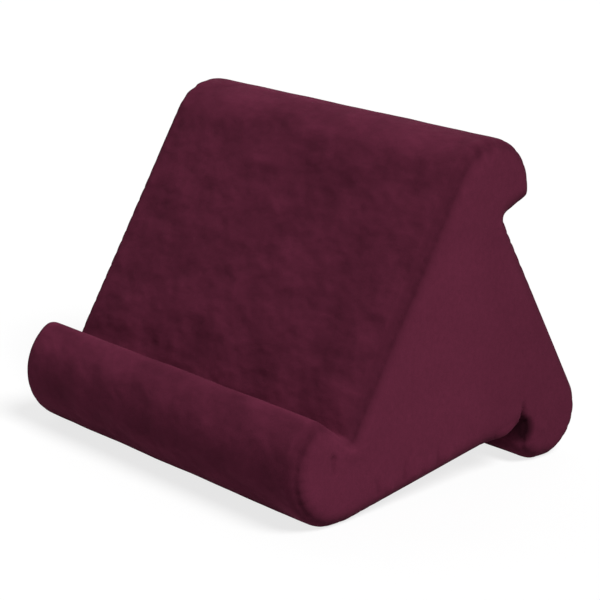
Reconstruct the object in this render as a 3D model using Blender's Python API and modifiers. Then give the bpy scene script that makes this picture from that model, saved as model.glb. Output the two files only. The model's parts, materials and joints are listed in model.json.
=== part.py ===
"""Tablet cushion stand: a three-lobed foam block in a sewn velvet cover with a coil zip underneath.

Units are metres. X runs across the stand, +Y to its back and +Z up. The origin lies on the
table, under the middle of the stand.

The section is a pinwheel. Three round lobes sit at the corners of a triangle. Each face starts
near one lobe's centre and runs tangent on to the next lobe, so every lobe stands proud of one
face as a lip. The lip's flat ledge, which leans a little over that face, is where a tablet's
edge rests.
"""

import math
from dataclasses import dataclass

import bmesh
import bpy
from mathutils import Matrix, Vector

# The section's driving sizes
BASE_SPAN = 0.1814  # front lobe's centre to the rear lobe's, along the table
TOP_RUN = 0.1249  # front lobe's centre to the top lobe's, towards the back
TOP_RISE = 0.1477  # front lobe's centre to the top lobe's, upwards
FRONT_RADIUS = 0.0380
TOP_RADIUS = 0.0355
REAR_RADIUS = 0.0313
FRONT_STEP = 0.0034  # lobe's centre out to the face that starts beside it
TOP_STEP = 0.0034
REAR_STEP = -0.0006
FRONT_LEDGE = 0.0172  # lobe's centre to its ledge's foot, measured along the face
TOP_LEDGE = 0.0194
REAR_LEDGE = 0.0250
FRONT_TIP = 0.0080  # rounding of the lip's edge, between its outside and its ledge
TOP_TIP = 0.0040
REAR_TIP = 0.0077
LEDGE_LEAN = 7.5  # degrees that each ledge leans over its face
NOTCH_ROUND = 0.0025  # the crease between a ledge and its face
FOOT_PRESS = 0.0008  # how far the two lower lobes are pressed flat by the table

# The cover
SEAM_WIDTH = 0.262  # end seam to end seam
CLOTH = 0.0015  # velvet with its backing
CLOTH_EDGE = 0.0005  # rounding of a panel's edges at a seam
END_CROWN = 0.010  # how far an end panel swells past its seam
CROWN_REACH = 0.012  # the swelling's run, from the seam inwards
SEAM_GAP = 0.0003  # between pieces that touch
SEAM_TUCK = 0.0008  # end seam to a wrap panel's end, which an end panel's rim leans towards

# The zip, a coil chain along the base face
ZIP_FROM_NOTCH = 0.028  # base notch to the chain's centre line
ZIP_SLOT = 0.0104  # between the two panel edges beside the chain
TAPE_WIDTH = 0.012
TAPE = 0.0006
CHAIN_HEIGHT = 0.0016
TOOTH_PITCH = 0.0018  # from one tooth to the next of the same side
TOOTH_WIDTH = 0.0006
TOOTH_REACH = 0.0005  # past the chain's centre line, between the other side's teeth
TOOTH_ROOT = 0.0010  # from the centre line to the coil's back
COIL_BACK = 0.0016  # the coil's own width behind its teeth
CHAIN_END_MARGIN = 0.0012  # the last tooth to the seam at each end

# The slider and its pull
SLIDER_LENGTH = 0.0092
SLIDER_WALL = 0.0009
SLIDER_TAPER = 0.0010  # how much narrower each side gets at its ends
SLIDER_WAIST = 0.0031  # the closed end's run from its narrow end to full width
SLIDER_EDGE = 0.0003  # bevel of the shell's edges
SLIDER_EASE = 0.0004  # slider to chain, all round
SLIDER_FROM_SEAM = 0.011  # slider's centre to the end seam, with the zip closed
BAIL_LENGTH = 0.0056
BAIL_WIDTH = 0.0016
BAIL_RISE = 0.0030  # above the slider's plate
BAIL_BAR = 0.0008
PULL_LENGTH = 0.0130  # hinge axis to the pull's rounded end
PULL_WIDTH = 0.0046
PULL_THICKNESS = 0.0010
PULL_WINDOW = 0.0042  # the window's length, from the crossbar's face
PULL_SIDE = 0.0010  # each side bar beside the window
PULL_BAR_RADIUS = 0.0005  # the crossbar, inside the bail

# How finely the curves are drawn
LOBE_STEPS = 20
TIP_STEPS = 5
NOTCH_STEPS = 4  # even, so that a seam can lie in the middle of the crease
CROWN_RINGS = 3
PULL_END_STEPS = 8
PULL_BAR_SIDES = 12
SMOOTH_LIMIT = 40.0  # degrees: edges sharper than this stay crisp

STAND = "tablet_cushion_stand"


@dataclass
class Finish:
    """A plain finish: colour as linear red, green and blue, then roughness and metallic."""

    name: str
    colour: tuple
    roughness: float
    metallic: float = 0.0


VELVET = Finish("wine_velvet", (0.102, 0.017, 0.037), 0.85)
FOAM = Finish("foam", (0.80, 0.76, 0.62), 0.95)
TAPE_WEAVE = Finish("zip_tape", (0.075, 0.012, 0.026), 0.80)
NYLON = Finish("zip_nylon", (0.085, 0.014, 0.030), 0.45)
ZINC = Finish("zip_metal", (0.50, 0.50, 0.52), 0.35, 1.0)


@dataclass
class Lobe:
    """A corner of the section, with its lip and the face that starts beside it.

    step is from the lobe's centre out to that face, and ledge from the centre to the ledge's
    foot along it. along is the face's direction, away from the lobe, and out its outward normal.
    """

    centre: Vector
    radius: float
    step: float
    ledge: float
    tip: float
    along: Vector = None
    out: Vector = None

    def foot(self):
        """Where the ledge's line meets the face's."""
        return self.centre + self.step * self.out + self.ledge * self.along

    def ledge_way(self):
        """The ledge's direction, from its foot to the lip's edge."""
        lean = math.radians(LEDGE_LEAN)
        return math.cos(lean) * self.out + math.sin(lean) * self.along

    def ledge_out(self):
        """The ledge's outward normal."""
        lean = math.radians(LEDGE_LEAN)
        return math.cos(lean) * self.along - math.sin(lean) * self.out

    def from_corner(self, distance):
        """From the foot, out to the point that is a distance off both the ledge and the face."""
        lean = math.radians(LEDGE_LEAN)
        return distance * (self.out + (1 + math.sin(lean)) / math.cos(lean) * self.along)


def direction(angle):
    """Unit vector in the section's plane, with the angle from +Y towards +Z."""
    return Vector((math.cos(angle), math.sin(angle)))


def angle_of(vector):
    return math.atan2(vector.y, vector.x)


def lobe_centres():
    """Centres of the front, top and rear lobes, with the origin midway along the table."""
    middle = (FRONT_RADIUS - REAR_RADIUS) / 2
    front = Vector((middle - BASE_SPAN / 2, FRONT_RADIUS - FOOT_PRESS))
    rear = Vector((middle + BASE_SPAN / 2, REAR_RADIUS - FOOT_PRESS))
    return front, front + Vector((TOP_RUN, TOP_RISE)), rear


def section_lobes():
    """The three lobes, in the order front, top, rear, each with the face that starts at it."""
    front, top, rear = lobe_centres()
    lobes = [
        Lobe(front, FRONT_RADIUS, FRONT_STEP, FRONT_LEDGE, FRONT_TIP),
        Lobe(top, TOP_RADIUS, TOP_STEP, TOP_LEDGE, TOP_TIP),
        Lobe(rear, REAR_RADIUS, REAR_STEP, REAR_LEDGE, REAR_TIP),
    ]
    for lobe, following in zip(lobes, lobes[1:] + lobes[:1]):
        span = following.centre - lobe.centre
        turn = angle_of(span) + math.asin((following.radius - lobe.step) / span.length)
        lobe.along = direction(turn)
        lobe.out = direction(turn + math.pi / 2)
    return lobes


LOBES = section_lobes()
FRONT, TOP, REAR = range(3)


def arc(centre, radius, start, sweep, steps):
    """Points on an arc, both ends included."""
    return [centre + radius * direction(start + sweep * k / steps) for k in range(steps + 1)]


def clockwise(start, end):
    """The sweep from one angle to another, turning clockwise."""
    return -((start - end) % math.tau)


def lobe_outside(number, inset):
    """Points round a lobe, from the face that meets it, over its outside and tip."""
    lobe = LOBES[number]
    arrives = angle_of(LOBES[number - 1].out)
    radius = lobe.radius - inset
    tip = max(lobe.tip - inset, NOTCH_ROUND)
    # The tip's centre keeps its radius off the ledge, and off the inside of the lobe's circle
    start = lobe.foot() - (inset + tip) * lobe.ledge_out() - lobe.centre
    way = lobe.ledge_way()
    back = start.dot(way)
    reach = math.sqrt(back**2 - start.length_squared + (radius - tip) ** 2) - back
    tip_centre = lobe.centre + start + reach * way
    leaves = angle_of(tip_centre - lobe.centre)
    round_lobe = arc(lobe.centre, radius, arrives, clockwise(arrives, leaves), LOBE_STEPS)
    ledge_side = angle_of(lobe.ledge_out())
    return round_lobe + arc(tip_centre, tip, leaves, clockwise(leaves, ledge_side), TIP_STEPS)[1:]


def notch_crease(number, inset):
    """Points round the crease from a lobe's ledge to the face that starts there."""
    lobe = LOBES[number]
    centre = lobe.foot() + lobe.from_corner(NOTCH_ROUND)
    sweep = math.pi / 2 + math.radians(LEDGE_LEAN)
    return arc(centre, NOTCH_ROUND + inset, angle_of(-lobe.ledge_out()), sweep, NOTCH_STEPS)


def pressed(points, inset):
    """The points with whatever would be below the table brought up to it."""
    return [Vector((point.x, max(point.y, inset))) for point in points]


def section(inset):
    """The whole outline, clockwise from the front notch, moved inwards by inset."""
    outline = []
    for number in (TOP, REAR, FRONT):
        outline += lobe_outside(number, inset) + notch_crease(number, inset)
    return pressed(outline, inset)


def panel_section(number):
    """The outline of the cover from one notch to the next, over the lobe of that number.

    Each end lies in the middle of its crease, half a seam gap from the next panel.
    """
    middle = NOTCH_STEPS // 2
    start = notch_crease(number - 1, 0.0)[middle:]
    end = notch_crease(number, 0.0)[: middle + 1]
    start[0] += (start[1] - start[0]).normalized() * SEAM_GAP / 2
    end[-1] += (end[-2] - end[-1]).normalized() * SEAM_GAP / 2
    return pressed(start + lobe_outside(number, 0.0) + end, 0.0)


def base_point(run):
    """A point of the base face, at a distance from its notch."""
    lobe = LOBES[REAR]
    return lobe.foot() + run * lobe.along


def crown(depth):
    """Inset and X of each ring of an end's crown, a quarter of an ellipse, a depth inside it."""
    rings = []
    for number in range(CROWN_RINGS + 1):
        turn = math.pi / 2 * number / CROWN_RINGS
        normal = Vector((CROWN_REACH * math.sin(turn), END_CROWN * math.cos(turn))).normalized()
        inset = CROWN_REACH * (1 - math.cos(turn)) + depth * normal.y
        rings.append((inset, SEAM_WIDTH / 2 + END_CROWN * math.sin(turn) - depth * normal.x))
    return rings


def add_material(obj, finish):
    material = bpy.data.materials.get(finish.name)
    if material is None:
        material = bpy.data.materials.new(finish.name)
        material.use_nodes = True
        shader = material.node_tree.nodes["Principled BSDF"]
        shader.inputs["Base Color"].default_value = (*finish.colour, 1.0)
        shader.inputs["Roughness"].default_value = finish.roughness
        shader.inputs["Metallic"].default_value = finish.metallic
        material.diffuse_color = (*finish.colour, 1.0)
    obj.data.materials.append(material)


def new_object(name, mesh_source, collection, finish=None):
    """An object in a collection, from a bmesh, which is freed."""
    mesh = bpy.data.meshes.new(name)
    mesh_source.to_mesh(mesh)
    mesh_source.free()
    obj = bpy.data.objects.new(name, mesh)
    collection.objects.link(obj)
    if finish:
        add_material(obj, finish)
        mesh.shade_smooth()
        mesh.set_sharp_from_angle(angle=math.radians(SMOOTH_LIMIT))
    return obj


def thicken(obj, thickness):
    """Gives an open sheet its thickness, inwards from its outer side."""
    solidify = obj.modifiers.new("thickness", "SOLIDIFY")
    solidify.thickness = thickness
    solidify.offset = -1.0
    solidify.use_even_offset = True


def soften(obj, width, segments=2, limit=50.0):
    """Rounds the edges that are sharper than limit, in degrees."""
    bevel = obj.modifiers.new("rounding", "BEVEL")
    bevel.width = width
    bevel.segments = segments
    bevel.limit_method = "ANGLE"
    bevel.angle_limit = math.radians(limit)


def combine(obj, other, operation):
    """Adds a Boolean with another object, which is then only a guide."""
    boolean = obj.modifiers.new(other.name, "BOOLEAN")
    boolean.operation = operation
    boolean.object = other
    other.hide_render = True
    other.display_type = "WIRE"


def cut(obj, cutter):
    """Takes the cutter's shape out of the object."""
    combine(obj, cutter, "DIFFERENCE")


def join(obj, piece):
    """Makes the piece's shape part of the object."""
    combine(obj, piece, "UNION")


def draw_sheet(outline, half_width):
    """A bmesh of one sheet, an outline in the section's plane drawn along X.

    The outline runs clockwise, seen from +X, and the sheet's faces point outwards.
    """
    sheet = bmesh.new()
    points = [sheet.verts.new((half_width, p.x, p.y)) for p in outline]
    edges = [sheet.edges.new(pair) for pair in zip(points, points[1:])]
    drawn = bmesh.ops.extrude_edge_only(sheet, edges=edges)["geom"]
    moved = [item for item in drawn if isinstance(item, bmesh.types.BMVert)]
    bmesh.ops.translate(sheet, verts=moved, vec=(-2 * half_width, 0, 0))
    sheet.normal_update()
    heading = outline[1] - outline[0]
    outwards = Vector((0, -heading.y, heading.x))
    # The faces come in no fixed order, so the one on the first edge is asked for by that edge
    first_face = edges[0].link_faces[0]
    if first_face.normal.dot(outwards) < 0:
        bmesh.ops.reverse_faces(sheet, faces=sheet.faces[:])
    return sheet


def add_ring(mesh, outline, x):
    """A closed loop of edges in the plane at x."""
    points = [mesh.verts.new((x, p.x, p.y)) for p in outline]
    return [mesh.edges.new(pair) for pair in zip(points, points[1:] + points[:1])]


def bridge(mesh, rings):
    """Walls between each ring and the next."""
    for first, second in zip(rings, rings[1:]):
        bmesh.ops.bridge_loops(mesh, edges=first + second)


def ring_corners(ring):
    """The vertices of a ring, in order."""
    return [edge.verts[0] for edge in ring]


def cover_panel(name, outline, collection):
    """A wrap panel: its outline from seam to seam, as wide as the cover inside its end panels."""
    half_width = SEAM_WIDTH / 2 - SEAM_TUCK
    panel = new_object(name, draw_sheet(outline, half_width), collection, VELVET)
    thicken(panel, CLOTH)
    soften(panel, CLOTH_EDGE)
    return panel


def end_panel(name, side, collection):
    """An end panel, swelling from its seam to a nearly flat middle. side is +1 or -1 along X."""
    mesh = bmesh.new()
    rings = [add_ring(mesh, section(inset), side * x) for inset, x in crown(0.0)]
    bridge(mesh, rings)
    mesh.faces.new(ring_corners(rings[-1]))
    bmesh.ops.recalc_face_normals(mesh, faces=mesh.faces[:])
    mesh.normal_update()
    middle = max(mesh.faces, key=lambda face: face.calc_area())
    if middle.normal.x * side < 0:
        bmesh.ops.reverse_faces(mesh, faces=mesh.faces[:])
    panel = new_object(name, mesh, collection, VELVET)
    thicken(panel, CLOTH)
    soften(panel, CLOTH_EDGE)
    return panel


def foam_core(collection, cutters):
    """The foam block, with a shallow bed where it gives way to the zip's tapes."""
    mesh = bmesh.new()
    ends = crown(CLOTH + SEAM_GAP)
    places = [(inset, -x) for inset, x in reversed(ends)] + ends
    rings = [add_ring(mesh, section(inset), x) for inset, x in places]
    bridge(mesh, rings)
    mesh.faces.new(ring_corners(rings[0]))
    mesh.faces.new(ring_corners(rings[-1]))
    bmesh.ops.recalc_face_normals(mesh, faces=mesh.faces[:])
    core = new_object("foam_core", mesh, collection, FOAM)
    skin = CLOTH + SEAM_GAP
    depth = skin + TAPE + SEAM_GAP
    width = 2 * (TAPE_WIDTH + SEAM_GAP)
    bed = box_mesh((SEAM_WIDTH * 2, width, 2 * depth))
    cut(core, place_on_base(new_object("zip_bed", bed, cutters)))
    return core


def box_mesh(size, centre=(0, 0, 0)):
    """A bmesh box of that size round that centre."""
    mesh = bmesh.new()
    bmesh.ops.create_cube(mesh, size=1.0)
    bmesh.ops.scale(mesh, vec=size, verts=mesh.verts[:])
    bmesh.ops.translate(mesh, vec=centre, verts=mesh.verts[:])
    return mesh


def place_on_base(obj, x=0.0, height=0.0):
    """Puts an object on the zip's centre line: its +Y to the front, its +Z out of the base."""
    lobe = LOBES[REAR]
    spot = base_point(ZIP_FROM_NOTCH) + height * lobe.out
    obj.location = (x, spot.x, spot.y)
    obj.rotation_euler = (angle_of(lobe.along), 0, 0)
    return obj


def zip_tape(name, side, collection):
    """One woven tape, under the panel's edge and the coil. side is +1 towards the front."""
    inner = SEAM_GAP / 2
    width = TAPE_WIDTH - inner
    length = SEAM_WIDTH - 2 * (CLOTH + SEAM_GAP)
    centre = (0, side * (inner + width / 2), tape_top() - TAPE / 2)
    tape = new_object(name, box_mesh((length, width, TAPE), centre), collection, TAPE_WEAVE)
    return place_on_base(tape)


def zip_coil(name, side, collection):
    """One coil as a comb: a back with teeth that reach between the other coil's teeth."""
    stagger = TOOTH_PITCH / 2  # one side's teeth lie midway between the other's
    usable = SEAM_WIDTH - 2 * (CLOTH + SEAM_GAP + CHAIN_END_MARGIN)
    count = int((usable - stagger) / TOOTH_PITCH)
    length = count * TOOTH_PITCH + stagger
    first = (stagger - length) / 2 + (0.0 if side > 0 else stagger)
    outline = [(length / 2, TOOTH_ROOT), (length / 2, TOOTH_ROOT + COIL_BACK)]
    outline += [(-length / 2, TOOTH_ROOT + COIL_BACK), (-length / 2, TOOTH_ROOT)]
    for number in range(count):
        middle = first + number * TOOTH_PITCH
        low, high = middle - TOOTH_WIDTH / 2, middle + TOOTH_WIDTH / 2
        outline += [(low, TOOTH_ROOT), (low, -TOOTH_REACH)]
        outline += [(high, -TOOTH_REACH), (high, TOOTH_ROOT)]
    mesh = bmesh.new()
    points = [mesh.verts.new((x, side * y, chain_floor())) for x, y in outline]
    comb = mesh.faces.new(points)
    raised = bmesh.ops.extrude_face_region(mesh, geom=[comb])["geom"]
    moved = [item for item in raised if isinstance(item, bmesh.types.BMVert)]
    bmesh.ops.translate(mesh, verts=moved, vec=(0, 0, CHAIN_HEIGHT))
    bmesh.ops.recalc_face_normals(mesh, faces=mesh.faces[:])
    return place_on_base(new_object(name, mesh, collection, NYLON))


def tape_top():
    """The tapes' outer side, a gap behind the panels' cloth, measured out of the base face."""
    return -(CLOTH + SEAM_GAP)


def chain_floor():
    """The coils' underside, a gap above the tapes, measured out of the base face."""
    return tape_top() + SEAM_GAP


def slider_plate_top():
    """The slider's outer side, measured out of the base face."""
    return chain_floor() + CHAIN_HEIGHT + SLIDER_EASE + SLIDER_WALL


def slider_outline(half_width):
    """Half of the slider from above: blunt at its open end, drawn in towards its closed end.

    The open end faces -X, as the slider stops at that end with the zip closed.
    """
    half = SLIDER_LENGTH / 2
    narrow = half_width - SLIDER_TAPER
    return [
        (-half, narrow),
        (SLIDER_TAPER - half, half_width),
        (half - SLIDER_WAIST, half_width),
        (half, narrow),
    ]


def prism(corners, low, high):
    """A bmesh prism on a flat outline, from one height to another."""
    mesh = bmesh.new()
    base = mesh.faces.new([mesh.verts.new((x, y, low)) for x, y in corners])
    raised = bmesh.ops.extrude_face_region(mesh, geom=[base])["geom"]
    moved = [item for item in raised if isinstance(item, bmesh.types.BMVert)]
    bmesh.ops.translate(mesh, verts=moved, vec=(0, 0, high - low))
    bmesh.ops.recalc_face_normals(mesh, faces=mesh.faces[:])
    return mesh


def zip_slider(collection, cutters):
    """The slider's shell over the chain, with the bail that carries the pull."""
    channel = TOOTH_ROOT + COIL_BACK + SLIDER_EASE
    half_width = channel + SLIDER_WALL + SLIDER_TAPER
    side = slider_outline(half_width)
    outline = side + [(x, -y) for x, y in reversed(side)]
    floor = chain_floor()
    top = slider_plate_top()
    slider = new_object("zip_slider", prism(outline, floor, top), collection, ZINC)
    channel_top = floor + CHAIN_HEIGHT + SLIDER_EASE
    low = floor - CHAIN_HEIGHT
    centre = (0, 0, (low + channel_top) / 2)
    channel_size = (2 * SLIDER_LENGTH, 2 * channel, channel_top - low)
    channel_cutter = new_object("slider_channel", box_mesh(channel_size, centre), cutters)
    bail_size = (BAIL_LENGTH, BAIL_WIDTH, BAIL_RISE + SLIDER_WALL / 2)
    bail_centre = (0, 0, top + BAIL_RISE - bail_size[2] / 2)
    bail = new_object("slider_bail", box_mesh(bail_size, bail_centre), cutters)
    eye_size = (BAIL_LENGTH - 2 * BAIL_BAR, 2 * BAIL_WIDTH, BAIL_RISE - BAIL_BAR)
    eye_centre = (0, 0, top + eye_size[2] / 2)
    eye = new_object("bail_eye", box_mesh(eye_size, eye_centre), cutters)
    soften(slider, SLIDER_EDGE, 1)
    cut(slider, channel_cutter)
    join(slider, bail)
    cut(slider, eye)
    for obj in (slider, channel_cutter, bail, eye):
        place_on_base(obj, slider_x())
    return slider


def slider_x():
    """Where the slider stands along the chain, with the zip closed."""
    return SLIDER_FROM_SEAM - SEAM_WIDTH / 2


def hinge_height():
    """The pull's hinge axis, above the base face: its crossbar lies in the bail's eye."""
    return slider_plate_top() + (BAIL_RISE - BAIL_BAR) / 2


def zip_pull(collection, cutters):
    """The pull, hanging straight out of the base from its crossbar in the bail."""
    half = PULL_WIDTH / 2
    far = PULL_LENGTH - half
    outline = [(half, 0.0), (half, far)]
    outline += [
        (half * math.cos(turn), far + half * math.sin(turn))
        for turn in (math.pi * k / PULL_END_STEPS for k in range(1, PULL_END_STEPS))
    ]
    outline += [(-half, far), (-half, 0.0)]
    mesh = prism(outline, -PULL_THICKNESS / 2, PULL_THICKNESS / 2)
    stand_up = Matrix(((0, 0, 1, 0), (1, 0, 0, 0), (0, 1, 0, 0), (0, 0, 0, 1)))
    bmesh.ops.transform(mesh, matrix=stand_up, verts=mesh.verts[:])
    pull = new_object("zip_pull", mesh, collection, ZINC)
    window_width = PULL_WIDTH - 2 * PULL_SIDE
    low = -2 * PULL_BAR_RADIUS
    high = PULL_BAR_RADIUS + PULL_WINDOW
    window_size = (2 * PULL_THICKNESS, window_width, high - low)
    window_mesh = box_mesh(window_size, (0, 0, (low + high) / 2))
    window = new_object("pull_window", window_mesh, cutters)
    bar_mesh = bmesh.new()
    bmesh.ops.create_cone(
        bar_mesh,
        cap_ends=True,
        segments=PULL_BAR_SIDES,
        radius1=PULL_BAR_RADIUS,
        radius2=PULL_BAR_RADIUS,
        depth=PULL_WIDTH - PULL_SIDE,
        matrix=Matrix.Rotation(math.pi / 2, 4, "X"),
    )
    bar = new_object("pull_crossbar", bar_mesh, cutters)
    cut(pull, window)
    join(pull, bar)
    for obj in (pull, window, bar):
        place_on_base(obj, slider_x(), hinge_height())
    return pull


def base_panels(collection):
    """The two panels of the base: a strip behind the zip, and the long one round the front."""
    outline = panel_section(FRONT)
    middle = NOTCH_STEPS // 2
    before = base_point(ZIP_FROM_NOTCH - ZIP_SLOT / 2)
    after = base_point(ZIP_FROM_NOTCH + ZIP_SLOT / 2)
    cover_panel("base_rear_strip", outline[: middle + 1] + [before], collection)
    cover_panel("base_panel", [after] + outline[middle + 1 :], collection)


def new_collection(name):
    collection = bpy.data.collections.new(name)
    bpy.context.scene.collection.children.link(collection)
    return collection


def build():
    for obj in list(bpy.data.objects):
        bpy.data.objects.remove(obj)
    stand = new_collection(STAND)
    cutters = new_collection("cutters")
    foam_core(stand, cutters)
    cover_panel("face_panel", panel_section(TOP), stand)
    cover_panel("rear_panel", panel_section(REAR), stand)
    base_panels(stand)
    end_panel("right_end_panel", 1, stand)
    end_panel("left_end_panel", -1, stand)
    zip_tape("zip_tape_front", 1, stand)
    zip_tape("zip_tape_rear", -1, stand)
    zip_coil("zip_coil_front", 1, stand)
    zip_coil("zip_coil_rear", -1, stand)
    zip_slider(stand, cutters)
    zip_pull(stand, cutters)


build()
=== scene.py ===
"""Looks of a tablet cushion stand: a three-lobed block of foam in a sewn wine-red velvet cover.

Units are metres, in the CAD frame: X runs across the stand, +Y to its back and +Z up.
"""

import json
import logging
import math
from dataclasses import dataclass, field
from enum import Enum
from typing import Optional, Union

import bmesh
import bpy
import numpy as np
from mathutils import Matrix, Vector, kdtree, noise

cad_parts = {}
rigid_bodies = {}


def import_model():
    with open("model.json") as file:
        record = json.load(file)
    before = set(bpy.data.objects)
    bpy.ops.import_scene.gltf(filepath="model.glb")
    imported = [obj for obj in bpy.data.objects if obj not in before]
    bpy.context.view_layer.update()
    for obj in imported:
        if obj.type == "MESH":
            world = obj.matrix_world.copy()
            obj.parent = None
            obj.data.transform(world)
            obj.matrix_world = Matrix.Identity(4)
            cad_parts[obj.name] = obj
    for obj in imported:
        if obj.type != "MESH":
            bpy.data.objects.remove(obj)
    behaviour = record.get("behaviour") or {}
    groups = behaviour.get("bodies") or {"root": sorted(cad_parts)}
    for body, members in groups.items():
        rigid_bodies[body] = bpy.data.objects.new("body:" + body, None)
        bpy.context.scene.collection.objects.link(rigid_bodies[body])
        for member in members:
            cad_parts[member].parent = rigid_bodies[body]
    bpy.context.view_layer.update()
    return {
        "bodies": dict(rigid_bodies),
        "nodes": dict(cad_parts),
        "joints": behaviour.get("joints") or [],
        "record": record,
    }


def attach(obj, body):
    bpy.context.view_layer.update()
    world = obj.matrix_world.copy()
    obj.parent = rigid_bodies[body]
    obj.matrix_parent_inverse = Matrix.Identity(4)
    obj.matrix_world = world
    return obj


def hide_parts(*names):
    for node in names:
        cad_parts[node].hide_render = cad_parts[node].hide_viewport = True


LOG = logging.getLogger("tablet_cushion_stand")
MM = 0.001


class Body(Enum):
    """The CAD bodies that pieces ride on."""

    CUSHION = "cushion"
    SLIDER = "slider"
    PULL = "pull"


class Slot(Enum):
    """The record's material slots."""

    VELVET = "velvet"
    FOAM = "foam"
    ZIP_TAPE = "zip_tape"
    ZIP_COIL = "zip_coil"
    ZIP_METAL = "zip_metal"


class Signal:
    """One number that varies over a surface: a shader socket with Python's arithmetic."""

    def __init__(self, shader: "Nodes", socket: bpy.types.NodeSocket) -> None:
        """Wraps a socket.

        Args:
            shader: The node tree's builder.
            socket: The output that carries the number.
        """
        self.shader = shader
        self.socket = socket

    def math(self, operation: str, *others: "Number") -> "Signal":
        """Adds one Math node.

        Args:
            operation: The node's operation.
            others: The operands after this one.

        Returns:
            The node's result.
        """
        return self.shader.math(operation, self, *others)

    def __add__(self, other: "Number") -> "Signal":
        """Sum."""
        return self.math("ADD", other)

    __radd__ = __add__

    def __mul__(self, other: "Number") -> "Signal":
        """Product."""
        return self.math("MULTIPLY", other)

    __rmul__ = __mul__

    def __sub__(self, other: "Number") -> "Signal":
        """Difference."""
        return self.math("SUBTRACT", other)

    def __rsub__(self, other: "Number") -> "Signal":
        """Difference, the other way round."""
        return self.shader.math("SUBTRACT", other, self)

    def clamped(self, low: float, high: float) -> "Signal":
        """The number kept between two limits."""
        return self.math("MAXIMUM", low).math("MINIMUM", high)

    def ramp(self, start: float, end: float) -> "Signal":
        """0 up to the start and 1 from the end on."""
        return ((self - start) * (1.0 / (end - start))).clamped(0.0, 1.0)


Number = Union[Signal, float]
Colour = tuple[float, float, float]


class Nodes:
    """Builds the nodes of one tree."""

    def __init__(self, tree: bpy.types.NodeTree) -> None:
        """Starts with the tree emptied."""
        self.tree = tree
        tree.nodes.clear()

    def node(self, kind: str, settings: Optional[dict] = None, inputs: Optional[dict] = None) -> bpy.types.Node:
        """Adds a node.

        Args:
            kind: The node's type.
            settings: Properties, set first.
            inputs: Values or links, by the socket's name or number.

        Returns:
            The node.
        """
        made = self.tree.nodes.new(kind)
        for name, value in (settings or {}).items():
            setattr(made, name, value)
        for name, value in (inputs or {}).items():
            self.feed(made.inputs[name], value)
        return made

    def feed(self, socket: bpy.types.NodeSocket, value: object) -> None:
        """Links or sets one input.

        Args:
            socket: The input.
            value: A Signal, an output socket, or a constant.
        """
        if isinstance(value, Signal):
            self.connect(value.socket, socket)
        elif isinstance(value, bpy.types.NodeSocket):
            self.connect(value, socket)
        else:
            socket.default_value = value

    def connect(self, start: bpy.types.NodeSocket, end: bpy.types.NodeSocket) -> None:
        """Adds a link."""
        self.tree.links.new(start, end)

    def math(self, operation: str, *operands: Number) -> Signal:
        """Adds one Math node.

        Args:
            operation: The node's operation.
            operands: Its inputs, in order.

        Returns:
            The node's result.
        """
        inputs = dict(enumerate(operands))
        return Signal(self, self.node("ShaderNodeMath", {"operation": operation}, inputs).outputs[0])

    def seen_directly(self) -> Signal:
        """1 where the camera sees a surface, by itself or in a mirror or glass, and 0 for other light."""
        rays = self.node("ShaderNodeLightPath").outputs
        camera, glossy, through = (Signal(self, rays[f"Is {kind} Ray"]) for kind in ("Camera", "Glossy", "Transmission"))
        return (camera + glossy + through).clamped(0.0, 1.0)

    def place(self) -> bpy.types.NodeSocket:
        """The object's own coordinates."""
        return self.node("ShaderNodeTexCoord").outputs["Object"]

    def stretched(self, scale: Colour, turn: Colour = (0.0, 0.0, 0.0)) -> bpy.types.NodeSocket:
        """The object's coordinates, scaled and turned for a pattern.

        Args:
            scale: Repeats per metre along each axis.
            turn: Rotation in radians.

        Returns:
            The vector's socket.
        """
        inputs = {"Vector": self.place(), "Scale": scale, "Rotation": turn}
        return self.node("ShaderNodeMapping", None, inputs).outputs["Vector"]

    def grain(self, vector: bpy.types.NodeSocket, scale: float, detail: float = 3.0, rough: float = 0.5) -> Signal:
        """Noise around 0.5.

        Args:
            vector: The coordinates.
            scale: Cells per unit of the coordinates.
            detail: Octaves.
            rough: How strong the fine octaves are.

        Returns:
            The noise's value.
        """
        inputs = {"Vector": vector, "Scale": scale, "Detail": detail, "Roughness": rough}
        return Signal(self, self.node("ShaderNodeTexNoise", None, inputs).outputs["Fac"])

    def blended(self, mask: Number, low: object, high: object) -> bpy.types.NodeSocket:
        """A colour between two others.

        Args:
            mask: 0 for the first, 1 for the second.
            low: The first colour, or a socket.
            high: The second.

        Returns:
            The mixed colour's socket.
        """
        mix = self.node("ShaderNodeMix", {"data_type": "RGBA", "clamp_factor": True})
        for number, value in ((0, mask), (6, low), (7, high)):
            self.feed(mix.inputs[number], value)
        return mix.outputs[2]


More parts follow.
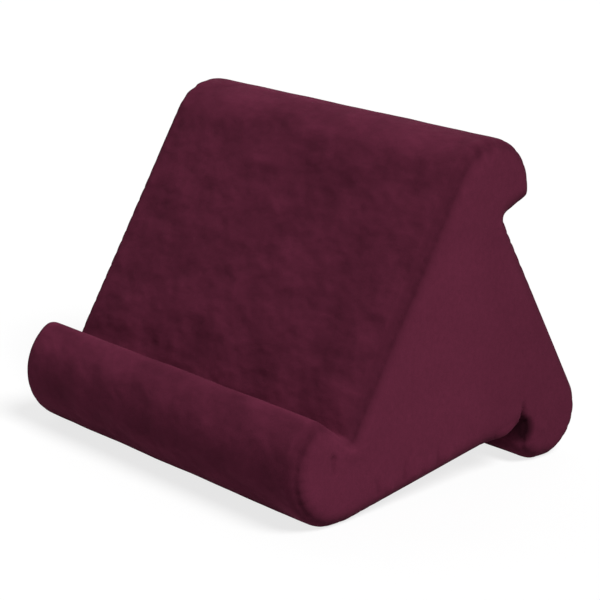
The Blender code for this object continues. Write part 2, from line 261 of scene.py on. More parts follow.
class Shader(Nodes):
    """A material built around a Principled shader."""

    def __init__(self, name: str) -> None:
        """Starts a material of that name."""
        self.material = bpy.data.materials.new(name)
        self.material.use_nodes = True
        super().__init__(self.material.node_tree)
        self.principled = self.node("ShaderNodeBsdfPrincipled")
        self.output = self.node("ShaderNodeOutputMaterial")
        self.connect(self.principled.outputs["BSDF"], self.output.inputs["Surface"])

    def mixed_with(self, other: bpy.types.NodeSocket, share: Number) -> None:
        """Mixes another shader over the Principled one.

        Args:
            other: That shader's output.
            share: How much of it is seen, 0 to 1.
        """
        mix = self.node("ShaderNodeMixShader", None, {0: share})
        self.connect(self.principled.outputs["BSDF"], mix.inputs[1])
        self.connect(other, mix.inputs[2])
        self.connect(mix.outputs["Shader"], self.output.inputs["Surface"])

    def bump(self, height: Signal, strength: float, distance: float) -> None:
        """Gives the surface a bump.

        Args:
            height: The relief.
            strength: 0 to 1.
            distance: The relief's depth in metres at a height of 1.
        """
        inputs = {"Height": height, "Strength": strength, "Distance": distance}
        made = self.node("ShaderNodeBump", None, inputs)
        self.connect(made.outputs["Normal"], self.principled.inputs["Normal"])

    def surface(self, values: dict) -> None:
        """Sets Principled inputs by their names."""
        for name, value in values.items():
            self.feed(self.principled.inputs[name], value)


def opaque(colour: Colour) -> tuple[float, float, float, float]:
    """The colour with full alpha."""
    return (*colour, 1.0)


def shade(colour: Colour, share: float) -> tuple[float, float, float, float]:
    """The colour made lighter or darker by a share, with full alpha."""
    return opaque(tuple(min(part * share, 1.0) for part in colour))


@dataclass(frozen=True)
class Velvet:
    """Short-pile velvet.

    The pile leans in brushed patches. Shade is painted into its colour along the end seams, except at a spot
    beside the front notch, towards the back of the end panels and in the base notch's hollow.
    """

    colour: Colour = (0.104, 0.0168, 0.0378)
    bloom: Colour = (0.55, 0.12, 0.22)
    mottle: float = 0.20
    wrap_edge: float = 0.130
    end_calm: float = 0.80
    # Painted shade along the end seams: its strength, and where in X it starts and ends.
    seam_shade: float = 0.38
    shade_band_start: tuple[float, float] = (0.1312, 0.1368)
    shade_band_end: tuple[float, float] = (0.1384, 0.1410)
    # Painted shade towards the back of the end panels: its strength and the run in Y over which it grows.
    painted_back_shade: float = 0.16
    back_shade_span: tuple[float, float] = (0.01, 0.09)
    # Painted shade in the base notch's hollow: its Y, Z and radius, then its strength.
    notch_hollow: Colour = (0.0720, 0.0250, 0.0105)
    hollow_shade: float = 0.62
    # Where the painted seam shade is left out beside the front notch, so that the ridge there is not darkened: Y,
    # Z and radius.
    unshaded_spot: Colour = (-0.0900, 0.0560, 0.0150)

    @staticmethod
    def spot(depth: Signal, height: Signal, place: Colour) -> Signal:
        """1 at a place in the section's plane, down to 0 at a radius round it.

        Args:
            depth: The Y coordinate.
            height: The Z coordinate.
            place: The spot's Y, Z and radius.

        Returns:
            The share.
        """
        across, up = depth - place[0], height - place[1]
        return 1.0 - ((across * across + up * up) * (1.0 / place[2] ** 2)).clamped(0.0, 1.0)

    def material(self) -> bpy.types.Material:
        """The finished material."""
        shader = Shader("wine_velvet")
        place = shader.place()
        parts = shader.node("ShaderNodeSeparateXYZ", None, {"Vector": place}).outputs
        reach = Signal(shader, parts["X"]).math("ABSOLUTE")
        depth, height = Signal(shader, parts["Y"]), Signal(shader, parts["Z"])
        crushed = 1.0 - self.end_calm * reach.ramp(self.wrap_edge, self.wrap_edge + 0.008)
        patches = shader.grain(shader.stretched((30.0, 40.0, 40.0)), 1.0, 2.2, 0.5) - 0.5
        brushed = shader.grain(shader.stretched((170.0, 340.0, 240.0)), 1.0, 2.0, 0.6) - 0.5
        pile = shader.grain(place, 1500.0, 2.0, 0.7) - 0.5
        tone = patches * crushed * 1.3 + brushed * 0.4 + pile * 0.5
        mask = (tone * 1.6 + 0.5).clamped(0.0, 1.0)
        low, high = shade(self.colour, 1.0 - self.mottle), shade(self.colour, 1.0 + self.mottle)
        # Painted shade: a dark band along the end seams, mottled with the patches and left out beside the front
        # notch.
        shade_band = reach.ramp(*self.shade_band_start) * (1.0 - reach.ramp(*self.shade_band_end))
        band_kept = 1.0 - self.spot(depth, height, self.unshaded_spot)
        shade_band = shade_band * band_kept * self.seam_shade * (brushed * 1.2 + patches * 1.2 + 1.0)
        # Painted shade, darker towards the back of the end panels.
        rear_shade = depth.ramp(*self.back_shade_span) * reach.ramp(0.136, 0.141) * self.painted_back_shade
        # Painted shade in the base notch's hollow, on the end panels.
        hollow = self.spot(depth, height, self.notch_hollow) * reach.ramp(0.105, 0.124) * self.hollow_shade
        # All the painted shade together, which darkens the colour towards black.
        darker = (shade_band + rear_shade + hollow).clamped(0.0, 0.85)
        colour = shader.blended(darker, shader.blended(mask, low, high), opaque((0.0, 0.0, 0.0)))
        shader.surface({"Base Color": colour, "Roughness": 0.95})
        shader.surface({"Sheen Weight": 0.10, "Sheen Roughness": 0.30, "Sheen Tint": opaque(self.bloom)})
        shader.surface({"Specular IOR Level": 0.03})
        shader.bump(patches * crushed * 4.5 + brushed * 0.16 + pile * 0.16, 1.0, MM)
        return shader.material


@dataclass(frozen=True)
class Foam:
    """Open-cell upholstery foam."""

    colour: Colour = (0.80, 0.76, 0.62)

    def material(self) -> bpy.types.Material:
        """The finished material."""
        shader = Shader("cut_foam")
        cells = shader.node("ShaderNodeTexVoronoi", None, {"Vector": shader.place(), "Scale": 900.0})
        depth = Signal(shader, cells.outputs["Distance"])
        yellowing = shader.grain(shader.place(), 20.0)
        # Painted shade in the cell pits, where the bump is low, mixed with real yellowing.
        mask = (depth * 0.8 + yellowing * 0.4).clamped(0.0, 1.0)
        colour = shader.blended(mask, shade(self.colour, 0.8), opaque(self.colour))
        shader.surface({"Base Color": colour, "Roughness": 0.95})
        shader.bump(depth, 0.6, 0.4 * MM)
        return shader.material


@dataclass(frozen=True)
class TapeWeave:
    """Woven zip tape: a fine herringbone along its length."""

    colour: Colour = (0.075, 0.012, 0.026)
    threads: float = 2600.0

    def material(self) -> bpy.types.Material:
        """The finished material."""
        shader = Shader("zip_tape_weave")
        inputs = {"Vector": shader.place(), "Scale": self.threads / math.tau}
        slanted = shader.node("ShaderNodeTexWave", {"bands_direction": "DIAGONAL"}, inputs)
        inputs = {"Vector": shader.place(), "Scale": self.threads / math.tau / 2}
        across = shader.node("ShaderNodeTexWave", {"bands_direction": "X"}, inputs)
        weave = Signal(shader, slanted.outputs["Fac"]) * 0.6 + Signal(shader, across.outputs["Fac"]) * 0.4
        colour = shader.blended(weave, shade(self.colour, 0.75), shade(self.colour, 1.35))
        shader.surface({"Base Color": colour, "Roughness": 0.82, "Specular IOR Level": 0.25})
        shader.bump(weave, 0.7, 0.15 * MM)
        return shader.material


@dataclass(frozen=True)
class Nylon:
    """Dyed nylon filament of the zip's coils."""

    colour: Colour = (0.085, 0.014, 0.030)

    def material(self) -> bpy.types.Material:
        """The finished material."""
        shader = Shader("zip_nylon")
        streaks = shader.grain(shader.stretched((500.0, 3000.0, 3000.0)), 1.0, 2.0)
        colour = shader.blended(streaks, shade(self.colour, 0.85), shade(self.colour, 1.25))
        shader.surface({"Base Color": colour, "Roughness": streaks * 0.2 + 0.32})
        shader.bump(streaks, 0.2, 0.05 * MM)
        return shader.material


@dataclass(frozen=True)
class PlatedZinc:
    """Satin plated zinc with fine polishing marks."""

    colour: Colour = (0.50, 0.50, 0.52)

    def material(self) -> bpy.types.Material:
        """The finished material."""
        shader = Shader("zip_zinc")
        marks = shader.grain(shader.stretched((400.0, 6000.0, 6000.0)), 1.0, 3.0)
        wear = shader.grain(shader.place(), 700.0, 3.0)
        colour = shader.blended(wear, shade(self.colour, 0.9), shade(self.colour, 1.1))
        shader.surface({"Base Color": colour, "Metallic": 1.0})
        shader.surface({"Roughness": marks * 0.18 + wear * 0.12 + 0.22})
        shader.bump(marks, 0.15, 0.03 * MM)
        return shader.material


def direction(angle: float) -> np.ndarray:
    """Unit vector in the section's plane, with the angle from +Y towards +Z."""
    return np.array([math.cos(angle), math.sin(angle)])


def angle_of(vector: np.ndarray) -> float:
    """The vector's angle from +Y towards +Z."""
    return math.atan2(vector[1], vector[0])


def arc(centre: np.ndarray, radius: float, start: float, sweep: float, steps: int) -> list[np.ndarray]:
    """Points on an arc, both ends included.

    Args:
        centre: The arc's centre.
        radius: Its radius.
        start: The first point's angle.
        sweep: The turn to the last point.
        steps: The number of intervals.

    Returns:
        The points in order.
    """
    return [centre + radius * direction(start + sweep * k / steps) for k in range(steps + 1)]


def clockwise(start: float, end: float) -> float:
    """The sweep from one angle to another, turning clockwise."""
    return -((start - end) % math.tau)


@dataclass
class Lobe:
    """A round corner of the section with its lip, and the face that starts beside it."""

    centre: np.ndarray
    radius: float
    step: float
    ledge: float
    tip: float
    lean: float
    along: np.ndarray = field(default_factory=lambda: np.zeros(2))
    out: np.ndarray = field(default_factory=lambda: np.zeros(2))

    def foot(self) -> np.ndarray:
        """Where the ledge's line meets the face's."""
        return self.centre + self.step * self.out + self.ledge * self.along

    def ledge_way(self) -> np.ndarray:
        """The ledge's direction, from its foot to the lip's edge."""
        return math.cos(self.lean) * self.out + math.sin(self.lean) * self.along

    def ledge_out(self) -> np.ndarray:
        """The ledge's outward normal."""
        return math.cos(self.lean) * self.along - math.sin(self.lean) * self.out

    def crease_centre(self, radius: float) -> np.ndarray:
        """Centre of the crease's arc, at that radius from the ledge and from the face."""
        slant = (1 + math.sin(self.lean)) / math.cos(self.lean)
        return self.foot() + radius * (self.out + slant * self.along)

    def crease_floor(self, radius: float) -> np.ndarray:
        """The deepest point of the crease."""
        inwards = self.foot() - self.crease_centre(radius)
        return self.crease_centre(radius) + radius * inwards / np.hypot(*inwards)


@dataclass
class Section:
    """The stand's pinwheel section, clockwise seen from +X, as three lobes: front, top, rear."""

    base_span: float = 0.1814
    top_run: float = 0.1249
    top_rise: float = 0.1477
    radii: Colour = (0.0380, 0.0355, 0.0313)
    steps: Colour = (0.0034, 0.0034, -0.0006)
    ledges: Colour = (0.0172, 0.0194, 0.0250)
    tips: Colour = (0.0080, 0.0040, 0.0077)
    lean: float = math.radians(7.5)
    crease: float = 0.0025
    press: float = 0.0008
    spacing: float = 0.0038
    slot_start: float = 0.0228
    slot_end: float = 0.0332
    slot_wall: float = 0.0003
    slot_depth: float = 0.00255

    def __post_init__(self) -> None:
        """Works out the three lobes."""
        middle = (self.radii[0] - self.radii[2]) / 2
        front = np.array([middle - self.base_span / 2, self.radii[0] - self.press])
        rear = np.array([middle + self.base_span / 2, self.radii[2] - self.press])
        top = front + np.array([self.top_run, self.top_rise])
        rows = zip((front, top, rear), self.radii, self.steps, self.ledges, self.tips)
        self.lobes = [Lobe(*row, self.lean) for row in rows]
        for lobe, following in zip(self.lobes, self.lobes[1:] + self.lobes[:1]):
            span = following.centre - lobe.centre
            turn = angle_of(span) + math.asin((following.radius - lobe.step) / np.hypot(*span))
            lobe.along = direction(turn)
            lobe.out = direction(turn + math.pi / 2)

    def corner(self, number: int, inset: float) -> list[np.ndarray]:
        """Points of one lobe, its tip, its ledge and its crease, moved inwards.

        Args:
            number: 0 for the front lobe, 1 for the top one and 2 for the rear one.
            inset: How far inside the outline.

        Returns:
            The points from the face that arrives to the face that leaves.
        """
        lobe = self.lobes[number]
        arrives = angle_of(self.lobes[number - 1].out)
        radius = lobe.radius - inset
        tip = max(lobe.tip - inset, self.crease)
        start = lobe.foot() - (inset + tip) * lobe.ledge_out() - lobe.centre
        back = float(start @ lobe.ledge_way())
        reach = math.sqrt(back**2 - float(start @ start) + (radius - tip) ** 2) - back
        tip_centre = lobe.centre + start + reach * lobe.ledge_way()
        leaves = angle_of(tip_centre - lobe.centre)
        round_points = arc(lobe.centre, radius, arrives, clockwise(arrives, leaves), self.round_steps(number))
        ledge_side = angle_of(lobe.ledge_out())
        tip_points = arc(tip_centre, tip, leaves, clockwise(leaves, ledge_side), 5)
        centre = lobe.crease_centre(self.crease)
        turn = math.pi / 2 + self.lean
        crease_points = arc(centre, self.crease + inset, angle_of(-lobe.ledge_out()), turn, 6)
        ledge_points = self.between(tip_points[-1], crease_points[0], 4)
        return round_points + tip_points[1:] + ledge_points + crease_points

    def round_steps(self, number: int) -> int:
        """How many pieces a lobe's round outside is drawn in."""
        return round(1.1 * math.pi * self.radii[number] / self.spacing)

    @staticmethod
    def between(start: np.ndarray, end: np.ndarray, pieces: int) -> list[np.ndarray]:
        """The points that cut a straight line into pieces, without its ends."""
        return [start + (end - start) * k / pieces for k in range(1, pieces)]

    def face_length(self, number: int) -> float:
        """Length of the flat face that starts beside a lobe, from its ledge's foot."""
        lobe, following = self.lobes[number], self.lobes[(number + 1) % 3]
        return float((following.centre - lobe.foot()) @ lobe.along)

    def runs(self, number: int) -> list[float]:
        """Distances from the foot at which a face's points lie, with the zip's slot in the base."""
        length = self.face_length(number)
        start = self.crease * 1.2
        if number < 2:
            return list(np.linspace(start, length, round(length / self.spacing))[1:-1])
        before = np.linspace(start, self.slot_start, 5)[1:]
        slot = np.linspace(self.slot_start + self.slot_wall, self.slot_end - self.slot_wall, 4)
        after = np.linspace(self.slot_end, length, round((length - self.slot_end) / self.spacing))
        return [*before, *slot, *after[:-1]]

    def face(self, number: int, inset: float, slot: float) -> list[np.ndarray]:
        """Points of the flat face that starts beside a lobe.

        Args:
            number: The lobe.
            inset: How far inside the outline.
            slot: Share of the zip slot's depth that is cut, 0 or 1.

        Returns:
            The points between the two corners.
        """
        lobe = self.lobes[number]
        points = []
        for run in self.runs(number):
            sunk = number == 2 and self.slot_start < run < self.slot_end
            depth = inset + (slot * self.slot_depth if sunk else 0.0)
            points.append(lobe.foot() + run * lobe.along - depth * lobe.out)
        return points

    def outline(self, inset: float, slot: float = 0.0) -> np.ndarray:
        """The whole closed outline, moved inwards, from the top lobe on.

        Args:
            inset: How far inside.
            slot: Share of the zip slot's depth that is cut.

        Returns:
            An array of points, always the same number in the same order.
        """
        points: list[np.ndarray] = []
        for number in (1, 2, 0):
            points += self.corner(number, inset) + self.face(number, inset, slot)
        loop = np.array(points)
        loop[:, 1] = np.maximum(loop[:, 1], inset)
        return loop


@dataclass(frozen=True)
class Fold:
    """A short ridge, or a crease where its height is negative, across both end panels.

    It fades from its start to the share of its height that fade gives.
    """

    start: tuple[float, float]
    end: tuple[float, float]
    height: float
    width: float
    fade: float = 0.3


@dataclass(frozen=True)
class NotchEnd:
    """The cover at both ends of a notch.

    The cover doesn't press an inside corner round, so the end's rounding falls to a share there,
    and the seam draws the notch's floor a little deeper.
    """

    rounding: float
    reach: float
    shift: tuple[float, float]
    deeper: tuple[float, float]
    tightness: float


@dataclass
class Cushion:
    """The stuffed cushion: the velvet cover over its foam block."""

    section: Section
    velvet: bpy.types.Material
    foam: bpy.types.Material
    half_width: float = 0.131
    crown: float = 0.010
    reach: float = 0.012
    crown_steps: int = 8
    ring_spacing: float = 0.0050
    cap_inset: float = 0.0145
    cap_cell: float = 0.0034
    seam_turn: float = math.radians(42.0)
    seam_depth: float = 0.0006
    seam_reach: float = 0.0016
    gather_pitch: float = 0.0095
    gather_depth: float = 0.00045
    swell: float = 0.0012
    unevenness: float = 0.0004
    skin: float = 0.0022
    notch_ends: tuple[NotchEnd, ...] = (
        NotchEnd(0.85, 0.0090, (0.0, 0.0), (0.0008, -0.0012), 0.0070),
        NotchEnd(0.85, 0.0080, (0.0, 0.0), (0.0, 0.0), 0.0070),
        NotchEnd(0.20, 0.0120, (-0.0120, -0.0015), (0.0030, 0.0042), 0.0100),
    )
    folds: tuple[Fold, ...] = (
        Fold((0.0715, 0.0310), (0.0699, 0.0437), -0.0040, 0.0016, 0.25),
        Fold((0.0680, 0.0318), (0.0440, 0.0252), 0.0010, 0.0022, 0.4),
        Fold((-0.0571, 0.0150), (-0.0590, 0.0234), -0.0010, 0.0018, 0.4),
        Fold((-0.0471, 0.0150), (-0.0480, 0.0210), 0.0010, 0.0022, 0.4),
        Fold((-0.0353, 0.0185), (-0.0356, 0.0306), -0.0011, 0.0018, 0.4),
        Fold((-0.0252, 0.0190), (-0.0254, 0.0268), 0.0010, 0.0022, 0.4),
        Fold((-0.0146, 0.0200), (-0.0150, 0.0260), 0.0008, 0.0020, 0.4),
        Fold((-0.0060, 0.0220), (-0.0080, 0.0319), -0.0010, 0.0018, 0.4),
        Fold((0.0027, 0.0230), (0.0025, 0.0290), 0.0007, 0.0022, 0.4),
        Fold((0.0732, 0.0340), (0.0729, 0.0425), 0.0008, 0.0014, 0.5),
        Fold((0.0897, 0.0221), (0.0850, 0.0260), 0.0008, 0.0030, 0.6),
        Fold((-0.0975, 0.0650), (-0.0780, 0.0437), 0.0019, 0.0032, 0.4),
        Fold((-0.0945, 0.0460), (-0.0944, 0.0365), -0.0018, 0.0018, 0.5),
        Fold((0.0424, 0.1661), (0.0426, 0.1600), 0.0008, 0.0022, 0.5),
        Fold((0.0093, 0.1920), (0.0096, 0.1830), 0.0006, 0.0022, 0.5),
        Fold((0.0166, 0.2150), (0.0172, 0.2060), 0.0008, 0.0024, 0.4),
        Fold((0.0260, 0.2190), (0.0268, 0.2080), 0.0008, 0.0024, 0.4),
        Fold((0.0377, 0.2170), (0.0370, 0.2060), 0.0007, 0.0024, 0.4),
        Fold((0.0123, 0.2150), (0.0125, 0.2080), -0.0008, 0.0020, 0.4),
        Fold((0.0224, 0.2170), (0.0224, 0.2070), -0.0009, 0.0020, 0.4),
        Fold((0.0319, 0.2180), (0.0315, 0.2080), -0.0009, 0.0020, 0.4),
        Fold((0.0448, 0.2150), (0.0440, 0.2070), -0.0008, 0.0020, 0.4),
    )

    def rings(self) -> list[tuple[float, float, float]]:
        """Inset, X and slot share of every ring, from the left cap to the right one."""
        right = []
        near = self.half_width - np.array([0.0, 0.0015, 0.0038, 0.0074])
        count = round(2 * near[-1] / self.ring_spacing)
        for x in [*np.linspace(-near[-1], near[-1], count + 1), *near[::-1][1:-1]]:
            right.append((0.0, float(x), 1.0))
        left = [(0.0, -float(x), 1.0) for x in near[1:-1]]
        crown = []
        for number in range(self.crown_steps + 1):
            turn = math.pi / 2 * number / self.crown_steps
            crown.append((self.reach * (1 - math.cos(turn)), self.half_width + self.crown * math.sin(turn), 0.0))
        crown.append((self.cap_inset, self.half_width + self.crown, 0.0))
        return [(inset, -x, slot) for inset, x, slot in reversed(crown)] + left + right + crown

    def shell(self) -> bmesh.types.BMesh:
        """The closed form, a ring at a time, with a gridded cap at each end."""
        mesh = bmesh.new()
        rings = self.rings()
        inset, x, slot = rings[0]
        loop = [mesh.verts.new((x, *point)) for point in self.section.outline(inset, slot)]
        for pair in zip(loop, loop[1:] + loop[:1]):
            mesh.edges.new(pair)
        first = list(loop)
        for inset, x, slot in rings[1:]:
            edges = [mesh.edges.get(pair) for pair in zip(loop, loop[1:] + loop[:1])]
            drawn = bmesh.ops.extrude_edge_only(mesh, edges=edges)["geom"]
            fresh = {item for item in drawn if isinstance(item, bmesh.types.BMVert)}
            loop = [self.partner(vert, fresh) for vert in loop]
            for vert, point in zip(loop, self.section.outline(inset, slot)):
                vert.co = (x, *point)
        for ring in (first, loop):
            self.cap(mesh, ring)
        bmesh.ops.recalc_face_normals(mesh, faces=mesh.faces[:])
        return mesh

    @staticmethod
    def partner(vert: bmesh.types.BMVert, fresh: set[bmesh.types.BMVert]) -> bmesh.types.BMVert:
        """The new vertex that was drawn out of an old one."""
        return next(edge.other_vert(vert) for edge in vert.link_edges if edge.other_vert(vert) in fresh)

    def cap(self, mesh: bmesh.types.BMesh, ring: list[bmesh.types.BMVert]) -> None:
        """Closes a ring with a face and cuts it into a grid of small cells.

        Args:
            mesh: The shell.
            ring: The ring's vertices in order.
        """
        geometry: list = [mesh.faces.new(ring)]
        points = np.array([vert.co[:] for vert in ring])
        for axis in (1, 2):
            low, high = points[:, axis].min(), points[:, axis].max()
            normal = Vector((0, axis == 1, axis == 2))
            for place in np.arange(low + self.cap_cell / 2, high, self.cap_cell):
                faces = [item for item in geometry if isinstance(item, bmesh.types.BMFace)]
                edges = {edge for face in faces for edge in face.edges}
                verts = {vert for face in faces for vert in face.verts}
                cut = bmesh.ops.bisect_plane(
                    mesh, geom=[*faces, *edges, *verts], dist=1e-6, plane_co=normal * place, plane_no=normal
                )
                geometry = cut["geom"]
        inner = {v for item in geometry if isinstance(item, bmesh.types.BMFace) for v in item.verts}
        bmesh.ops.remove_doubles(mesh, verts=list(inner), dist=0.0011)

    def sewn(self, points: np.ndarray) -> np.ndarray:
        """Which points a seam, a crease, the zip or the table holds in place.

        Args:
            points: The shell's points.

        Returns:
            True for each point that is held.
        """
        tree, _along = self.seam_tree()
        held = np.array([tree.find(point)[2] < 0.0016 for point in points])
        flat = points[:, 1:]
        for lobe in self.section.lobes:
            away = np.hypot(*(flat - lobe.crease_centre(self.section.crease)).T)
            held |= away < self.section.crease + 0.0018
        rear = self.section.lobes[2]
        run, rise = (flat - rear.foot()) @ rear.along, (flat - rear.foot()) @ rear.out
        by_slot = (run > self.section.slot_start - 0.001) & (run < self.section.slot_end + 0.001)
        return held | (by_slot & (np.abs(rise) < 0.004)) | (points[:, 2] < 0.0006)

    def settle(self, obj: bpy.types.Object) -> None:
        """Lets the stuffing swell the cover a little between its seams.

        Args:
            obj: The shell's object, whose mesh is changed.
        """
        rest = read_vectors(obj.data, "co")
        held = obj.vertex_groups.new(name="sewn")
        held.add([int(number) for number in np.flatnonzero(self.sewn(rest))], 1.0, "ADD")
        stuffing = obj.modifiers.new("stuffing", "CLOTH")
        cloth = stuffing.settings
        cloth.quality = 6
        cloth.mass = 0.3
        cloth.tension_stiffness = cloth.compression_stiffness = 30.0
        cloth.bending_stiffness = 1.0
        cloth.use_pressure = True
        cloth.uniform_pressure_force = 4.0
        cloth.vertex_group_mass = held.name
        cloth.effector_weights.gravity = 0.0
        stuffing.collision_settings.use_collision = False
        stuffing.point_cache.frame_start, stuffing.point_cache.frame_end = 1, 20
        for frame in range(1, 21):
            bpy.context.scene.frame_set(frame)
        shown = obj.evaluated_get(bpy.context.evaluated_depsgraph_get())
        moved = read_vectors(shown.data, "co") - rest
        obj.modifiers.clear()
        obj.vertex_groups.clear()
        bpy.context.scene.frame_set(1)
        lengths = np.hypot(np.hypot(moved[:, 0], moved[:, 1]), moved[:, 2])
        share = min(1.0, self.swell / float(np.percentile(lengths, 99)))
        LOG.info("stuffing swells the cover by %.1f mm, kept to %.1f mm", lengths.max() / MM, self.swell / MM)
        kept = moved * share * np.minimum(1.0, self.swell / np.maximum(lengths * share, 1e-9))[:, None]
        write_points(obj.data, rest + kept)

    def dress(self, obj: bpy.types.Object, material: bpy.types.Material, slot: Slot) -> bpy.types.Object:
        """Finishes a piece: material, smooth faces, and the body it rides on.

        Args:
            obj: The piece.
            material: Its finish.
            slot: The record's slot for that finish; not used.

        Returns:
            The piece.
        """
        obj.data.materials.append(material)
        obj.data.shade_smooth()
        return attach(obj, Body.CUSHION.value)

    def seam_tree(self) -> tuple[kdtree.KDTree, np.ndarray]:
        """Close points along both end seams, and each one's distance along its seam."""
        inset = self.reach * (1 - math.cos(self.seam_turn))
        x = self.half_width + self.crown * math.sin(self.seam_turn)
        loop = self.section.outline(inset)
        steps = np.hypot(*(np.roll(loop, -1, 0) - loop).T)
        along = np.concatenate([[0.0], np.cumsum(steps)])
        closed = np.vstack([loop, loop[:1]])
        fine = np.arange(0.0, along[-1], 0.0006)
        points = np.column_stack([np.interp(fine, along, closed[:, k]) for k in (0, 1)])
        tree = kdtree.KDTree(2 * len(fine))
        for side in (-1, 1):
            for number, (y, z) in enumerate(points):
                tree.insert((side * x, y, z), number + (len(fine) if side > 0 else 0))
        tree.balance()
        return tree, np.concatenate([fine, fine + 3.0])

    def sculpt(self, obj: bpy.types.Object) -> None:
        """Sinks the seams and creases and gives the cover its small unevenness.

        Args:
            obj: The shell's object, whose mesh is changed.
        """
        points, normals = read_vectors(obj.data, "co"), read_vectors(obj.data, "normal")
        tree, along = self.seam_tree()
        found = [tree.find(point) for point in points]
        distance = np.array([item[2] for item in found])
        gathers = self.gathers(along)
        index = np.array([item[1] for item in found])
        gather = gathers[index]
        groove = np.exp(-((distance / self.seam_reach) ** 2))
        push = -self.seam_depth * (1.0 + 0.4 * gather) * groove
        push -= self.gather_depth * gather * np.exp(-((distance / 0.0075) ** 2))
        wave = np.array([noise.noise(p * 22.0) + 0.5 * noise.noise(p * 55.0) for p in map(Vector, points)])
        push += self.unevenness * wave * np.clip(distance / 0.012, 0.0, 1.0)
        points += normals * push[:, None]
        self.pinch(points)
        points[:, 2] = np.maximum(points[:, 2], 0.0)
        write_points(obj.data, points)

    def gathers(self, along: np.ndarray) -> np.ndarray:
        """How deep the cover is gathered at each point of its seams, 0 to 1.

        Args:
            along: Each point's distance along its seam.

        Returns:
            The depth's share, in narrow creases at uneven spacing.
        """
        drift = np.array([noise.noise((run * 30.0, 4.1, 0.0)) for run in along])
        strength = np.array([noise.noise((run * 18.0, 0.0, 7.3)) for run in along])
        crease = (1.0 - np.abs(np.sin(math.pi * (along / self.gather_pitch + 0.9 * drift)))) ** 2
        return crease * np.clip(0.45 + 1.3 * strength, 0.05, 1.0)

    def pinch(self, points: np.ndarray) -> None:
        """Squares the ends off at the notches and lays the folds into the end panels.

        Args:
            points: The shell's points, changed in place.
        """
        side, width = np.sign(points[:, 0]), np.abs(points[:, 0])
        outer = np.clip((width - self.half_width + 0.014) / 0.018, 0.0, 1.0)
        inner = np.exp(-((np.clip(self.half_width - width, 0.0, None) / 0.008) ** 2))
        room = np.clip(self.half_width + self.crown - np.maximum(width, self.half_width), 0.0, None)
        flat = points[:, 1:]
        for lobe, end in zip(self.section.lobes, self.notch_ends):
            floor = lobe.crease_floor(self.section.crease)
            away = np.hypot(*(flat - floor - np.array(end.shift)).T)
            points[:, 0] += side * (1.0 - end.rounding) * np.exp(-((away / end.reach) ** 2)) * inner * room
            drawn = outer * np.exp(-((np.hypot(*(flat - floor).T) / end.tightness) ** 2))
            flat += drawn[:, None] * np.array(end.deeper)
        for fold in self.folds:
            start, span = np.array(fold.start), np.array(fold.end) - np.array(fold.start)
            share = np.clip(((flat - start) @ span) / (span @ span), 0.0, 1.0)
            away = np.hypot(*(flat - start - share[:, None] * span).T)
            height = fold.height * (1.0 - (1.0 - fold.fade) * share)
            points[:, 0] += side * outer * height * np.exp(-((away / fold.width) ** 2))

    def build(self) -> list[bpy.types.Object]:
        """Makes the cover and the foam block inside it.

        Returns:
            The pieces.
        """
        cover = new_object("velvet_cover", self.shell())
        self.settle(cover)
        inside = new_object("foam_block", bmesh.new())
        subdivide(cover)
        self.sculpt(cover)
        block = bmesh.new()
        block.from_mesh(cover.data)
        for vert in block.verts:
            vert.co -= vert.normal * self.skin
        block.to_mesh(inside.data)
        block.free()
        self.dress(cover, self.velvet, Slot.VELVET)
        self.dress(inside, self.foam, Slot.FOAM)
        panels = ("face_panel", "rear_panel", "base_panel", "base_rear_strip")
        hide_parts(*panels, "right_end_panel", "left_end_panel")
        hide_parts("foam_core")
        return [cover, inside]


def new_object(name: str, source: bmesh.types.BMesh) -> bpy.types.Object:
    """An object at the origin, from a bmesh, which is freed.

    Args:
        name: The object's name.
        source: Its form.

    Returns:
        The object, linked to the scene.
    """
    mesh = bpy.data.meshes.new(name)
    source.to_mesh(mesh)
    source.free()
    obj = bpy.data.objects.new(name, mesh)
    bpy.context.scene.collection.objects.link(obj)
    return obj


def read_vectors(mesh: bpy.types.Mesh, name: str) -> np.ndarray:
    """The places or normals of a mesh's vertices.

    Args:
        mesh: The mesh.
        name: co or normal.

    Returns:
        An array with a row for each vertex.
    """
    values = np.empty(len(mesh.vertices) * 3)
    mesh.vertices.foreach_get(name, values)
    return values.reshape(-1, 3)


def write_points(mesh: bpy.types.Mesh, points: np.ndarray) -> None:
    """Moves a mesh's vertices to new places, given a row for each."""
    mesh.vertices.foreach_set("co", points.ravel())
    mesh.update()


def subdivide(obj: bpy.types.Object) -> None:
    """Applies one level of subdivision to the object's mesh."""
    modifier = obj.modifiers.new("subdivision", "SUBSURF")
    modifier.levels = modifier.render_levels = 1
    apply_modifiers(obj)


def apply_modifiers(obj: bpy.types.Object) -> None:
    """Makes the mesh what the modifiers show, and removes them."""
    shown = obj.evaluated_get(bpy.context.evaluated_depsgraph_get())
    mesh = bpy.data.meshes.new_from_object(shown)
    obj.modifiers.clear()
    obj.data = mesh


@dataclass
class Zip:
    """The zip along the base: CAD nodes with their finishes."""

    tape: bpy.types.Material
    nylon: bpy.types.Material
    metal: bpy.types.Material

    def dress(self, nodes: dict[str, bpy.types.Object]) -> list[bpy.types.Object]:
        """Gives the CAD nodes of the zip their materials.

        Args:
            nodes: The frame's nodes by name.

        Returns:
            The nodes that were dressed.
        """
        finishes = {
            "zip_tape_front": self.tape,
            "zip_tape_rear": self.tape,
            "zip_coil_front": self.nylon,
            "zip_coil_rear": self.nylon,
            "zip_slider": self.metal,
            "zip_pull": self.metal,
        }
        for name, material in finishes.items():
            nodes[name].data.materials.clear()
            nodes[name].data.materials.append(material)
        return [nodes[name] for name in finishes]


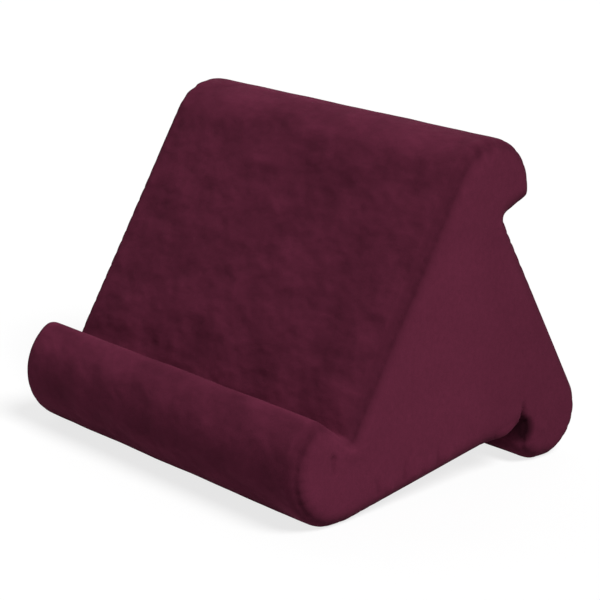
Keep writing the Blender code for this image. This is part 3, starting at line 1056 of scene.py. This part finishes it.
@dataclass
class Studio:
    """Floor, light and camera."""

    eye: Colour = (1.01133, -0.89285, 0.48779)
    azimuth: float = math.radians(48.48)
    elevation: float = math.radians(16.24)
    roll: float = math.radians(0.39)
    lens: float = 127.41
    floor_size: float = 12.0
    key: float = 1.10
    key_from: Colour = (0.60, 0.0, 0.80)
    key_spread: float = math.radians(28.0)
    fill: float = 0.23
    fill_from: Colour = (-0.78, 0.38, 0.50)
    fill_spread: float = math.radians(80.0)
    surround: float = 0.07
    floor_bounce: float = 0.58
    floor_glow: float = 0.78

    def build(self) -> None:
        """Makes the stage, the lamps, the world and the camera."""
        self.floor()
        self.world()
        self.lamp("key", self.key, self.key_from, self.key_spread)
        self.lamp("fill", self.fill, self.fill_from, self.fill_spread)
        self.camera()

    def floor(self) -> None:
        """A wide white floor that keeps the stand's soft shadow."""
        mesh = bmesh.new()
        bmesh.ops.create_grid(mesh, x_segments=1, y_segments=1, size=self.floor_size / 2)
        obj = new_object("studio_floor", mesh)
        shader = Shader("floor_paper")
        seen = shader.seen_directly()
        white = opaque((1.0, 1.0, 1.0))
        colour = shader.blended(seen, shade((1.0, 1.0, 1.0), self.floor_bounce), white)
        shader.surface({"Base Color": colour, "Roughness": 1.0, "Specular IOR Level": 0.0})
        glow = shader.node("ShaderNodeEmission", None, {"Color": white, "Strength": 1.0})
        shader.mixed_with(glow.outputs["Emission"], seen * self.floor_glow)
        obj.data.materials.append(shader.material)

    def world(self) -> None:
        """A dim surround that shows white where it is seen or mirrored."""
        world = bpy.data.worlds.new("studio_world")
        world.use_nodes = True
        bpy.context.scene.world = world
        nodes = Nodes(world.node_tree)
        output = nodes.node("ShaderNodeOutputWorld")
        white = opaque((1.0, 1.0, 1.0))
        mix = nodes.node("ShaderNodeMixShader", None, {0: nodes.seen_directly()})
        for slot, strength in ((1, self.surround), (2, 1.0)):
            back = nodes.node("ShaderNodeBackground", None, {"Color": white, "Strength": strength})
            nodes.connect(back.outputs[0], mix.inputs[slot])
        nodes.connect(mix.outputs[0], output.inputs["Surface"])

    @staticmethod
    def lamp(name: str, strength: float, source: Colour, spread: float) -> None:
        """Adds a broad, even light.

        Args:
            name: The lamp's name.
            strength: 1 lights a surface that faces it so that its colour renders as written.
            source: The direction in which the lamp lies.
            spread: The angle that it takes up in the sky.
        """
        data = bpy.data.lights.new(name, "SUN")
        data.energy = strength * math.pi
        data.angle = spread
        lamp = bpy.data.objects.new(name, data)
        lamp.rotation_euler = Vector(source).to_track_quat("Z", "Y").to_euler()
        bpy.context.scene.collection.objects.link(lamp)

    def camera(self) -> None:
        """The photograph's view."""
        data = bpy.data.cameras.new("camera")
        data.lens = self.lens
        data.sensor_width = 36.0
        camera = bpy.data.objects.new("camera", data)
        turn = Matrix.Rotation(self.azimuth, 3, "Z") @ Matrix.Rotation(math.pi / 2 - self.elevation, 3, "X")
        turn = turn @ Matrix.Rotation(self.roll, 3, "Z")
        camera.matrix_world = Matrix.Translation(self.eye) @ turn.to_4x4()
        bpy.context.scene.collection.objects.link(camera)
        bpy.context.scene.camera = camera
        bpy.context.scene.view_settings.view_transform = "Standard"


def main() -> None:
    """Builds the stand's looks in order and reports each piece."""
    logging.basicConfig(level=logging.INFO, format="%(message)s")
    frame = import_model()
    Studio().build()
    cushion = Cushion(Section(), Velvet().material(), Foam().material())
    pieces = cushion.build()
    closure = Zip(TapeWeave().material(), Nylon().material(), PlatedZinc().material())
    pieces += closure.dress(frame["nodes"])
    for piece in pieces:
        LOG.info("%s: %d faces", piece.name, len(piece.data.polygons))


if __name__ == "__main__":
    main()
